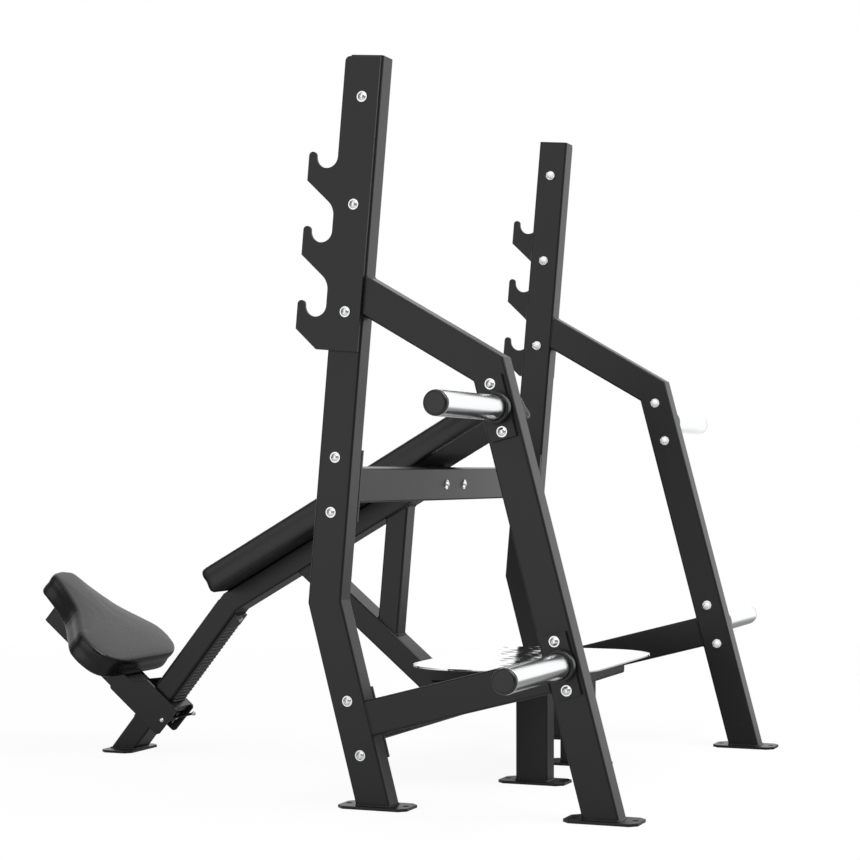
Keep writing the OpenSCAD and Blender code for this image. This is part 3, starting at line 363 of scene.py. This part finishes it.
# Bench spine. Beam and front post are mitred and welded, and a post and a brace stand under the beam.
# Flanges at their rear ends are bolted to the cross members.
for name in ("bench_beam", "front_post", "bench_post", "bench_brace"):
    coat_node(name, black_coat)
for name in ("bench_flanges", "bench_foot"):
    coat_node(name, black_coat, plate_edge)
beam_normal = (0, -math.sin(bench_incline), math.cos(bench_incline))
brace_normal = (0, -math.sin(brace_fall), -math.cos(brace_fall))
upright_rear = (0, math.cos(upright_lean), -math.sin(upright_lean))
lay_weld("weld_beam", "bench_beam", upright_rear, plate_sunk)
lay_weld("weld_brace_top", "bench_brace", beam_normal)
lay_weld("weld_brace_rear", "bench_brace", leg_rear, plate_sunk)
lay_weld("weld_post_top", "bench_post", beam_normal, plate_sunk)
lay_weld("weld_post_base", "bench_post", brace_normal, plate_sunk)
lay_weld("weld_front_foot", "front_post", down, plate_sunk)

# Seat rack and slide strip. A milled bar of saw teeth, coated and screwed to the back of the front
# post, and a plastic strip glued to its front, on which the seat slides.
fine_edge = 0.3 * MM
coat_node("seat_rack", black_coat, fine_edge)
coat_node("slide_strip", black_plastic, fine_edge)

# Plate horns. Steel tube, turned and chromed, over a drilled plate that is bolted to the rear leg.
# A moulded ring at the root stops the plates, and a rounded cap closes the end.
polish_lines = 0.9 * MM
polish_length = 125 * MM
polish_haze = 70 * MM


def chrome_plate():
    """Bright chrome on polished steel: a mirror with faint turning lines round the horn and a haze."""
    made, tree, here = start_material("chrome_plated_steel")
    turned = add(tree, "Mapping", inputs={
        "Vector": here, "Scale": (1 / polish_lines, 1 / polish_length, 1 / polish_length)
    })
    lines = add(tree, "TexNoise", inputs={"Vector": turned.outputs[0], "Scale": 1.0, "Detail": 2.0})
    haze = add(tree, "TexNoise", inputs={"Vector": here, "Scale": 1 / polish_haze, "Detail": 2.0})
    both = add(tree, "Math", {"operation": "MULTIPLY"}, {0: lines.outputs[0], 1: haze.outputs[0]})
    gloss = add(tree, "MapRange", inputs={
        "Value": both.outputs[0], "From Max": 0.5, "To Min": 0.18, "To Max": 0.25
    })
    skin = add(tree, "BsdfPrincipled", inputs={
        "Base Color": linear("#f3f4f5"), "Metallic": 1.0, "Roughness": gloss.outputs[0]
    })
    add(tree, "OutputMaterial", inputs={"Surface": skin.outputs[0]})
    return made


bright_chrome = chrome_plate()
ring_edge = 3.5 * MM
cap_edge = 1.6 * MM
for side in sides:
    for place_name in ("upper_", "lower_"):
        coat_node("horn_" + place_name + side, bright_chrome, tube_edge)
coat_node("horn_plates", black_coat)
coat_node("horn_collars", black_plastic, ring_edge, steps=4)
coat_node("horn_caps", black_plastic, cap_edge, steps=3)

# Spotter's step. An aluminium tread plate lies on two bearers with a bar between them, on two legs.
# The bearers, bar, brackets, legs and feet are coated steel.
for name in ("step_bearers", "step_bar", "step_leg_left", "step_leg_right"):
    coat_node(name, black_coat, tube_edge)
for name in ("step_brackets", "step_feet"):
    coat_node(name, black_coat, plate_edge)
for side in sides:
    lay_weld("weld_step_foot_" + side, "step_leg_" + side, down, plate_sunk)
    lay_weld("weld_step_leg_" + side, "step_leg_" + side, (0, 0, 1))
roll_streak = 1.6 * MM
roll_length = 90 * MM


def tread_alloy():
    """Rolled aluminium, mill finish: bright and slightly rough, with fine streaks along the rolling."""
    made, tree, here = start_material("rolled_aluminium_tread")
    rolled = add(tree, "Mapping", inputs={
        "Vector": here, "Scale": (1 / roll_length, 1 / roll_streak, 1 / roll_streak)
    })
    streaks = add(tree, "TexNoise", inputs={"Vector": rolled.outputs[0], "Scale": 1.0, "Detail": 3.0})
    tone = add(tree, "Mix", {"data_type": "RGBA"}, {
        0: streaks.outputs[0], 6: linear("#f0f1f2"), 7: linear("#fcfcfd")
    })
    gloss = add(tree, "MapRange", inputs={"Value": streaks.outputs[0], "To Min": 0.06, "To Max": 0.14})
    skin = add(tree, "BsdfPrincipled", inputs={
        "Base Color": tone.outputs[2], "Metallic": 1.0, "Roughness": gloss.outputs[0]
    })
    add(tree, "OutputMaterial", inputs={"Surface": skin.outputs[0]})
    return made


bright_alloy = tread_alloy()
coat_node("tread_plate", bright_alloy, fine_edge)

# Tread bars. The plate is rolled with a grip pattern: groups of five short bars, each group at a right
# angle to the next, and the whole pattern at 45 degrees to the plate's edges, where it is cut off.
# They are drawn flatter than real ones, so that the plate mirrors as a whole.
group_pitch = 38 * MM
bars_in_group = 5
bar_pitch = 7.2 * MM
bar_length = 31 * MM
bar_width = 4.6 * MM
bar_rise = 0.2 * MM
bar_sunk = 0.05 * MM
bar_corners = 10
bar_top = (0.8, 0.2, 1)
first_bar = -(bars_in_group - 1) / 2 * bar_pitch
group_corner = (group_pitch / 2, group_pitch / 2, 0)
outline_height = 3
tread_low, tread_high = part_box("tread_plate")
tread_middle = (tread_low + tread_high) / 2
bpy.ops.object.select_all(action="DESELECT")
bpy.ops.mesh.primitive_cylinder_add(vertices=bar_corners, radius=0.5, depth=bar_rise + bar_sunk)
tread_bars = bpy.context.object
tread_bars.name = "tread_bars"
bpy.ops.object.mode_set(mode="EDIT")
bpy.ops.mesh.select_all(action="SELECT")
bpy.ops.transform.resize(value=(bar_length, bar_width, 1))
bpy.ops.transform.translate(value=(0, first_bar, (bar_rise - bar_sunk) / 2))
bpy.ops.object.mode_set(mode="OBJECT")


def pick_faces(piece, wanted):
    """Selects only those faces of a mesh that the test wants."""
    for part in (piece.data.polygons, piece.data.edges, piece.data.vertices):
        part.foreach_set("select", [False] * len(part))
    for face in piece.data.polygons:
        face.select = wanted(face)


pick_faces(tread_bars, lambda face: face.normal.z > facing_limit)
bpy.ops.object.mode_set(mode="EDIT")
bpy.ops.transform.resize(value=bar_top, center_override=(0, first_bar, 0))
bpy.ops.object.mode_set(mode="OBJECT")


def repeat(piece, count, step):
    """Repeats a mesh in a row."""
    row = piece.modifiers.new("row", "ARRAY")
    row.count = count
    row.use_relative_offset = False
    row.use_constant_offset = True
    row.constant_offset_displace = step
    bpy.context.view_layer.objects.active = piece
    bpy.ops.object.modifier_apply(modifier=row.name)


repeat(tread_bars, bars_in_group, (0, bar_pitch, 0))
bpy.ops.object.mode_set(mode="EDIT")
bpy.ops.mesh.select_all(action="SELECT")
bpy.ops.mesh.duplicate()
bpy.ops.transform.rotate(value=math.pi / 2, orient_axis="Z", center_override=(0, 0, 0))
bpy.ops.transform.translate(value=(group_pitch, 0, 0))
bpy.ops.mesh.select_all(action="SELECT")
bpy.ops.mesh.duplicate()
bpy.ops.transform.rotate(value=math.pi, orient_axis="Z", center_override=group_corner)
bpy.ops.object.mode_set(mode="OBJECT")
tread_span = (tread_high - tread_low).to_2d().length
block_count = math.ceil(tread_span / (2 * group_pitch)) + 1
repeat(tread_bars, block_count, (2 * group_pitch, 0, 0))
repeat(tread_bars, block_count, (0, 2 * group_pitch, 0))
bpy.ops.object.mode_set(mode="EDIT")
bpy.ops.mesh.select_all(action="SELECT")
pattern_middle = (block_count - 0.5) * group_pitch
bpy.ops.transform.translate(value=(-pattern_middle, -pattern_middle, 0))
bpy.ops.transform.rotate(value=math.pi / 4, orient_axis="Z", center_override=(0, 0, 0))
bpy.ops.transform.translate(value=(tread_middle.x, tread_middle.y, tread_high.z))
bpy.ops.object.mode_set(mode="OBJECT")
cut = bpy.data.objects.new("tread_outline", nodes["tread_plate"].data.copy())
bpy.context.collection.objects.link(cut)
bpy.ops.object.select_all(action="DESELECT")
cut.select_set(True)
bpy.context.view_layer.objects.active = cut
bpy.ops.object.mode_set(mode="EDIT")
bpy.ops.mesh.select_all(action="SELECT")
bpy.ops.mesh.remove_doubles(threshold=merge_gap)
bpy.ops.transform.resize(value=(1, 1, outline_height), center_override=tread_middle)
bpy.ops.object.mode_set(mode="OBJECT")
trim = tread_bars.modifiers.new("cut_at_the_edge", "BOOLEAN")
trim.operation = "INTERSECT"
trim.solver = "MANIFOLD"
trim.object = cut
bpy.context.view_layer.objects.active = tread_bars
bpy.ops.object.modifier_apply(modifier=trim.name)
bpy.data.objects.remove(cut)
coat_piece(tread_bars, bright_alloy, "frame")

# Step bar plugs. Moulded polyethylene, pressed into the open ends of the step's rear bar. The rim is as
# large as the tube and its face is a little raised in the middle.
rim_thick = 3 * MM
rim_corner = 5 * MM
rim_slope = 4 * MM
rim_raise = 1 * MM
bar_low, bar_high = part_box("step_bar")
bar_size = bar_high - bar_low
bar_middle = (bar_low + bar_high) / 2
for side, out, end in (("left", -1, bar_low.x), ("right", 1, bar_high.x)):
    bpy.ops.object.select_all(action="DESELECT")
    bpy.ops.mesh.primitive_cube_add(size=1)
    plug = bpy.context.object
    plug.name = "step_bar_plug_" + side
    bpy.ops.object.mode_set(mode="EDIT")
    bpy.ops.transform.resize(value=(rim_thick, bar_size.y, bar_size.z))
    bpy.ops.transform.translate(value=(end + out * rim_thick / 2, bar_middle.y, bar_middle.z))
    bpy.ops.object.mode_set(mode="OBJECT")
    pick_faces(plug, lambda face: False)
    for edge in plug.data.edges:
        a, b = (plug.data.vertices[i].co for i in edge.vertices)
        edge.select = abs(a.x - b.x) > rim_thick / 2
    bpy.ops.object.mode_set(mode="EDIT")
    bpy.ops.mesh.bevel(offset=rim_corner, segments=5, affect="EDGES")
    bpy.ops.object.mode_set(mode="OBJECT")
    pick_faces(plug, lambda face: face.normal.x * out > facing_limit)
    bpy.ops.object.mode_set(mode="EDIT")
    bpy.ops.mesh.inset(thickness=rim_slope)
    bpy.ops.transform.translate(value=(out * rim_raise, 0, 0))
    bpy.ops.object.mode_set(mode="OBJECT")
    coat_piece(plug, black_plastic, "frame")

# Fasteners. Zinc-plated socket screws with washers and cap nuts, which clamp the plates to the tubes.
# Screws and washers are satin bright and a little bluish, and the nuts are duller.
zinc_mottle = 4 * MM
bright_metal = 0.95
dull_metal = 0.3


def zinc_plate(name, metal):
    """Clear-passivated zinc plating with a faint cold mottle. The duller it is, the less it mirrors."""
    made, tree, here = start_material(name)
    mottle = add(tree, "TexNoise", inputs={"Vector": here, "Scale": 1 / zinc_mottle, "Detail": 3.0})
    tone = add(tree, "Mix", {"data_type": "RGBA"}, {
        0: mottle.outputs[0], 6: linear("#eff1f3"), 7: linear("#fafaf9")
    })
    gloss = add(tree, "MapRange", inputs={"Value": mottle.outputs[0], "To Min": 0.20, "To Max": 0.30})
    skin = add(tree, "BsdfPrincipled", inputs={
        "Base Color": tone.outputs[2], "Metallic": metal, "Roughness": gloss.outputs[0]
    })
    add(tree, "OutputMaterial", inputs={"Surface": skin.outputs[0]})
    return made


bright_zinc = zinc_plate("bright_zinc_plate", bright_metal)
for name in ("frame_screws", "frame_washers", "rack_screws"):
    coat_node(name, bright_zinc)
coat_node("frame_nuts", zinc_plate("dull_zinc_plate", dull_metal))

# Seat carriage. A tube carries the seat, and two plates welded to it grip the front post between
# plastic slides. A pawl on a pin between the plates drops into the rack, and a dipped lever lifts it.
coat_node("seat_arm", black_coat, tube_edge)
for side in sides:
    coat_node("carriage_plate_" + side, black_coat, plate_edge)
coat_node("seat_arm_cap", black_plastic, plug_edge, steps=3)
coat_node("front_slide", black_plastic, fine_edge)
coat_node("rear_slide", black_plastic, fine_edge)
coat_node("pawl", black_coat, fine_edge)
for name in ("pawl_pin", "pawl_spring"):
    coat_node(name, bright_zinc)
ball_radius = 5 * MM
dip_fade = 0.5 * MM
dip_run = 3 * MM


def dipped_lever(ball):
    """Zinc-plated steel, dipped in black lacquer up to the ball, which stays bare."""
    made, tree, here = start_material("black_dipped_zinc")
    runs = add(tree, "TexNoise", inputs={"Vector": here, "Scale": 1 / dip_run, "Detail": 2.0})
    away = add(tree, "VectorMath", {"operation": "DISTANCE"}, {0: here, 1: ball})
    bare = add(tree, "MapRange", inputs={
        "Value": away.outputs["Value"], "From Min": ball_radius + dip_fade, "From Max": ball_radius
    })
    tone = add(tree, "Mix", {"data_type": "RGBA"}, {
        0: bare.outputs[0], 6: linear("#080808"), 7: linear("#dfe1e4")
    })
    gloss = add(tree, "MapRange", inputs={"Value": runs.outputs[0], "To Min": 0.28, "To Max": 0.4})
    skin = add(tree, "BsdfPrincipled", inputs={
        "Base Color": tone.outputs[2], "Metallic": bare.outputs[0], "Roughness": gloss.outputs[0]
    })
    add(tree, "OutputMaterial", inputs={"Surface": skin.outputs[0]})
    return made


lever_low, lever_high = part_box("pawl_knob")
lever_middle = (lever_low + lever_high) / 2
ball_middle = Vector((lever_middle.x, lever_high.y - ball_radius, lever_high.z - ball_radius))
coat_node("pawl_knob", dipped_lever(ball_middle))

# Boards. Birch plywood, sawn to the pads' outline and stained black, in the pockets under the foam.
# Only their undersides show.
ply_grain = 3 * MM
ply_figure = 120 * MM


def stained_plywood():
    """Rotary-cut birch veneer with a black stain: a long, wavy grain that still shows through."""
    made, tree, here = start_material("black_stained_plywood")
    along = add(tree, "Mapping", inputs={
        "Vector": here, "Scale": (1 / ply_grain, 1 / ply_figure, 1 / ply_figure)
    })
    grain = add(tree, "TexNoise", inputs={
        "Vector": along.outputs[0], "Scale": 1.0, "Detail": 4.0, "Distortion": 0.6
    })
    tone = add(tree, "Mix", {"data_type": "RGBA"}, {
        0: grain.outputs[0], 6: linear("#0d0c0b"), 7: linear("#1b1916")
    })
    relief = add(tree, "Bump", inputs={
        "Height": grain.outputs[0], "Strength": 0.2, "Distance": 0.2 * MM
    })
    skin = add(tree, "BsdfPrincipled", inputs={
        "Base Color": tone.outputs[2], "Roughness": 0.6, "Normal": relief.outputs[0]
    })
    add(tree, "OutputMaterial", inputs={"Surface": skin.outputs[0]})
    return made


plywood = stained_plywood()
for name in ("back_board", "seat_board"):
    coat_node(name, plywood)

# Pads. Foam under black leatherette, pulled over the edges and stapled to the board underneath.
# The foam swells the cover a little, the top edge stays firm, and the underside stays flat.
leather_grain = 3.2 * MM
leather_fold = 40 * MM


def leatherette():
    """Black PVC leatherette: an embossed grain of small cells, drawn about twice its real size."""
    made, tree, here = start_material("black_leatherette")
    cells = add(tree, "TexVoronoi", {"feature": "DISTANCE_TO_EDGE"}, {
        "Vector": here, "Scale": 1 / leather_grain
    })
    folds = add(tree, "TexNoise", inputs={"Vector": here, "Scale": 1 / leather_fold, "Detail": 3.0})
    tone = add(tree, "Mix", {"data_type": "RGBA"}, {
        0: folds.outputs[0], 6: linear("#080809"), 7: linear("#0e0e0f")
    })
    valley = add(tree, "MapRange", inputs={"Value": cells.outputs[0], "From Max": 0.18})
    gloss = add(tree, "MapRange", inputs={
        "Value": valley.outputs[0], "To Min": 0.36, "To Max": 0.25
    })
    relief = add(tree, "Bump", inputs={
        "Height": valley.outputs[0], "Strength": 0.25, "Distance": 0.12 * MM
    })
    skin = add(tree, "BsdfPrincipled", inputs={
        "Base Color": tone.outputs[2], "Roughness": gloss.outputs[0], "IOR": 1.47,
        "Normal": relief.outputs[0]
    })
    add(tree, "OutputMaterial", inputs={"Surface": skin.outputs[0]})
    return made


black_leatherette = leatherette()
cover_thick = 0.6 * MM
cover_stretch = 60
cover_shear = 40
cover_bend = 8
pad_rise_limit = 3 * MM
pad_pressure = 0.5
pad_side = (0.65, 0.76)
pad_edge = (0.80, 0.955)
pad_edge_pull = 0.5
pad_frames = 20
flat_band = 3 * MM
back_voxel = 5.5 * MM
seat_voxel = 4 * MM
scene = bpy.context.scene


def upholster(name, node, body, outwards, voxel):
    """The cover of a pad: its solid with the top edge pulled out, remeshed and blown up as cloth."""
    outwards = Vector(outwards)
    bpy.ops.object.select_all(action="DESELECT")
    made = bpy.data.objects.new(name, nodes[node].data.copy())
    bpy.context.collection.objects.link(made)
    made.select_set(True)
    bpy.context.view_layer.objects.active = made
    bpy.ops.object.mode_set(mode="EDIT")
    bpy.ops.mesh.select_all(action="SELECT")
    bpy.ops.mesh.remove_doubles(threshold=merge_gap)
    bpy.ops.mesh.customdata_custom_splitnormals_clear()
    bpy.ops.transform.shrink_fatten(value=cover_thick)
    bpy.ops.object.mode_set(mode="OBJECT")
    heights = [v.co.dot(outwards) for v in made.data.vertices]
    base, rise = min(heights), max(heights) - min(heights)
    shares = [(v, (h - base) / rise) for v, h in zip(made.data.vertices, heights)]
    side_ring = [v.co.copy() for v, share in shares if pad_side[0] < share < pad_side[1]]
    for v, share in shares:
        if pad_edge[0] < share < pad_edge[1]:
            nearest = min(side_ring, key=lambda c: (c - v.co).length)
            pull = (nearest - v.co) * pad_edge_pull
            v.co += pull - outwards * pull.dot(outwards)
    made.data.remesh_voxel_size = voxel
    bpy.ops.object.voxel_remesh()
    start = [v.co.copy() for v in made.data.vertices]
    held = made.vertex_groups.new(name="underside")
    under = [v.index for v in made.data.vertices if v.co.dot(outwards) < base + flat_band]
    held.add(under, 1.0, "REPLACE")
    cloth = made.modifiers.new("foam_pressure", "CLOTH")
    cloth.settings.vertex_group_mass = held.name
    cloth.settings.tension_stiffness = cover_stretch
    cloth.settings.compression_stiffness = cover_stretch
    cloth.settings.shear_stiffness = cover_shear
    cloth.settings.bending_stiffness = cover_bend
    cloth.settings.use_pressure = True
    cloth.settings.uniform_pressure_force = pad_pressure
    cloth.settings.effector_weights.gravity = 0
    cloth.point_cache.frame_start = 1
    cloth.point_cache.frame_end = pad_frames
    for number in range(1, pad_frames + 1):
        scene.frame_set(number)
    bpy.ops.object.modifier_apply(modifier=cloth.name)
    for v, was in zip(made.data.vertices, start):
        moved = v.co - was
        if moved.length > pad_rise_limit:
            v.co = was + moved * (pad_rise_limit / moved.length)
    scene.frame_set(1)
    even = made.modifiers.new("even_foam", "SMOOTH")
    even.factor = 0.5
    even.iterations = 1
    bpy.ops.object.modifier_apply(modifier=even.name)
    smooth = made.modifiers.new("rounder", "SUBSURF")
    smooth.levels = smooth.render_levels = 1
    bpy.ops.object.modifier_apply(modifier=smooth.name)
    bpy.ops.object.shade_smooth()
    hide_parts(node)
    coat_piece(made, black_leatherette, body)


seat_tilt = math.radians(40)
seat_normal = (0, math.sin(seat_tilt), math.cos(seat_tilt))
upholster("back_pad_cover", "back_pad", "frame", beam_normal, back_voxel)
upholster("seat_pad_cover", "seat_pad", "seat_carriage", seat_normal, seat_voxel)
